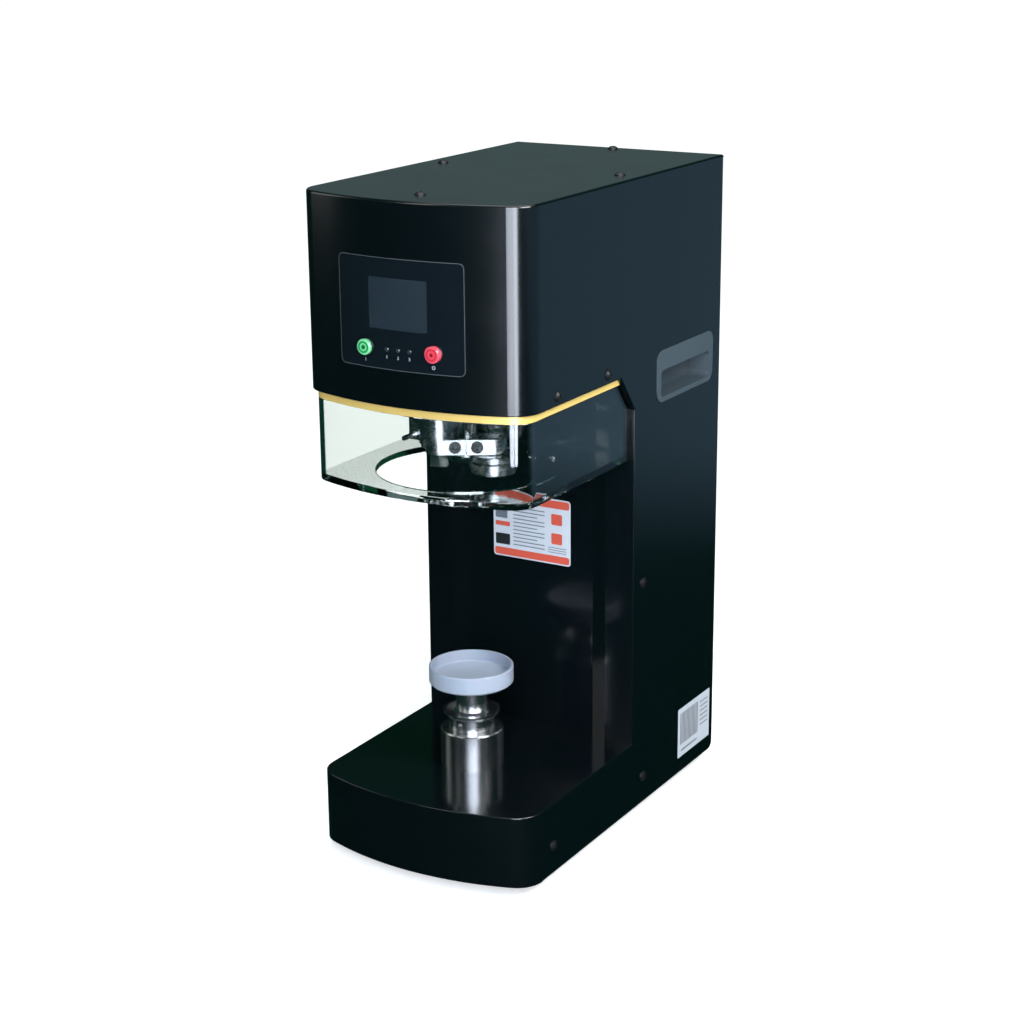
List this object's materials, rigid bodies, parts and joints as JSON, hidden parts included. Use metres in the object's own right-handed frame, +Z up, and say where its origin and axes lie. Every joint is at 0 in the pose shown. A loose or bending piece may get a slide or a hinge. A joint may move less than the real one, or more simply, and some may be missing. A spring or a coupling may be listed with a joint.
{
  "type": "can seamer",
  "caption": "Bench can seamer: bowed black head over a can lift, clear guard ring, spinning turret with clamp arms and grooved rollers, control panel and grip pockets.",
  "frame": {"origin": "middle of the footprint, on the bench under the feet", "axes": "+Z up, -Y towards the operator, +X to the operator's right"},
  "size_m": [0.2552, 0.4374, 0.6826],
  "materials": {
    "housing_black": "satin black paint, faint blue cast",
    "frame_steel": "grey primer",
    "foot_rubber": "matt",
    "black_plastic": "fine moulded grain",
    "gold_anodised": "gold anodised, brushed along its length",
    "clear_acrylic": "clear, polished edges",
    "screw_black": "black oxide",
    "panel_overlay": "gloss black membrane with a pale hairline border",
    "lamp_green": "clear lens",
    "board_green": "solder mask",
    "cast_metal": "bead blasted",
    "bright_steel": "ground bright",
    "tool_steel": "turned and ground, fine tool marks",
    "turned_steel": "fine turned rings",
    "screw_steel": "dark zinc",
    "pulley_aluminium": "machined",
    "motor_paint": "black paint",
    "belt_rubber": "matt",
    "cup_plastic": "milky white, satin",
    "green_plastic": "gloss",
    "red_plastic": "gloss",
    "rocker_red": "gloss"
  },
  "bodies": {
    "root": {"side_panel_left": "housing_black", "side_panel_right": "housing_black", "head_front": "housing_black", "base_front": "housing_black", "top_cover": "housing_black", "rear_panel": "housing_black", "deck_plate": "housing_black", "column_cover": "housing_black", "head_underside": "housing_black", "bottom_plate": "frame_steel", "feet": "foot_rubber", "handle_left": "black_plastic", "handle_right": "black_plastic", "gold_trim": "gold_anodised", "guard_wall": "clear_acrylic", "guard_floor": "clear_acrylic", "cover_screws": "screw_black", "control_panel": "panel_overlay", "indicator_lamps": "lamp_green", "control_board": "board_green", "power_inlet": "black_plastic", "frame_plates": "frame_steel", "head_plate": "frame_steel", "shaft_bridge": "cast_metal", "spindle_housing": "cast_metal", "spindle_bearings": "bright_steel", "centre_shaft": "bright_steel", "chuck": "tool_steel", "main_motor": "motor_paint", "drive_belts": "belt_rubber", "cam_actuator": "motor_paint", "can_barrel": "turned_steel", "lift_motor": "motor_paint"},
    "turret": {"turret": "turned_steel", "stop_screws": "bright_steel", "turret_pulley": "pulley_aluminium"},
    "first_arm": {"first_arm": "tool_steel", "first_pivot_bolt": "bright_steel", "first_cam_lever": "tool_steel", "first_clamp_screws": "screw_steel", "first_roller_pin": "bright_steel"},
    "first_roller": {"first_roller": "tool_steel"},
    "second_arm": {"second_arm": "tool_steel", "second_pivot_bolt": "bright_steel", "second_cam_lever": "tool_steel", "second_clamp_screws": "screw_steel", "second_roller_pin": "bright_steel"},
    "second_roller": {"second_roller": "tool_steel"},
    "cam": {"cam_sleeve": "tool_steel", "cam_yoke": "pulley_aluminium", "actuator_rod": "bright_steel"},
    "lift": {"lift_piston": "turned_steel", "can_post": "turned_steel", "can_cup": "cup_plastic"},
    "lift_screw": {"lift_screw": "bright_steel"},
    "motor_rotor": {"motor_pulley": "pulley_aluminium"},
    "lift_motor_rotor": {"lift_motor_pulley": "pulley_aluminium"},
    "start_button": {"start_button": "green_plastic"},
    "stop_button": {"stop_button": "red_plastic"},
    "power_rocker": {"power_rocker": "rocker_red"}
  },
  "joints": [
    {"name": "turret_spin", "type": "hinge", "parent": "root", "child": "turret", "pos_m": [0, -0.097, 0.477], "axis": [0, 0, 1], "continuous": true},
    {"name": "motor_spin", "type": "hinge", "parent": "root", "child": "motor_rotor", "pos_m": [0, 0.085, 0.57], "axis": [0, 0, 1], "continuous": true},
    {"name": "cam_slide", "type": "slide", "parent": "root", "child": "cam", "axis": [0, 0, 1], "range_m": [-0.006, 0.006]},
    {"name": "first_arm_swing", "type": "hinge", "parent": "turret", "child": "first_arm", "pos_m": [0.0023, -0.152, 0.438], "axis": [0, 0, 1], "range_deg": [-8, 8]},
    {"name": "second_arm_swing", "type": "hinge", "parent": "turret", "child": "second_arm", "pos_m": [-0.0023, -0.042, 0.438], "axis": [0, 0, 1], "range_deg": [-8, 8]},
    {"name": "first_roller_spin", "type": "hinge", "parent": "first_arm", "child": "first_roller", "pos_m": [0.0471, -0.1254, 0.42], "axis": [0, 0, 1], "continuous": true},
    {"name": "second_roller_spin", "type": "hinge", "parent": "second_arm", "child": "second_roller", "pos_m": [-0.0471, -0.0686, 0.42], "axis": [0, 0, 1], "continuous": true},
    {"name": "lift_slide", "type": "slide", "parent": "root", "child": "lift", "axis": [0, 0, 1], "range_m": [0, 0.045]},
    {"name": "lift_screw_spin", "type": "hinge", "parent": "root", "child": "lift_screw", "pos_m": [0, -0.097, 0.06], "axis": [0, 0, 1], "range_deg": [0, 1014]},
    {"name": "lift_motor_spin", "type": "hinge", "parent": "root", "child": "lift_motor_rotor", "pos_m": [0, 0.075, 0.04], "axis": [0, 0, 1], "range_deg": [0, 1014]},
    {"name": "start_push", "type": "slide", "parent": "root", "child": "start_button", "axis": [0, 1, 0], "range_m": [0, 0.0025], "stiffness_N_per_m": 700},
    {"name": "stop_push", "type": "slide", "parent": "root", "child": "stop_button", "axis": [0, 1, 0], "range_m": [0, 0.0025], "stiffness_N_per_m": 700},
    {"name": "power_rock", "type": "hinge", "parent": "root", "child": "power_rocker", "pos_m": [-0.055, 0.2115, 0.087], "axis": [1, 0, 0], "range_deg": [0, 18]}
  ],
  "couplings": [
    {"joint": "motor_spin", "follows": "turret_spin", "ratio": 2},
    {"joint": "first_arm_swing", "follows": "cam_slide", "rad_per_m": 23.2},
    {"joint": "second_arm_swing", "follows": "cam_slide", "rad_per_m": -23.2},
    {"joint": "lift_screw_spin", "follows": "lift_slide", "rad_per_m": 392.7},
    {"joint": "lift_motor_spin", "follows": "lift_slide", "rad_per_m": 392.7}
  ]
}
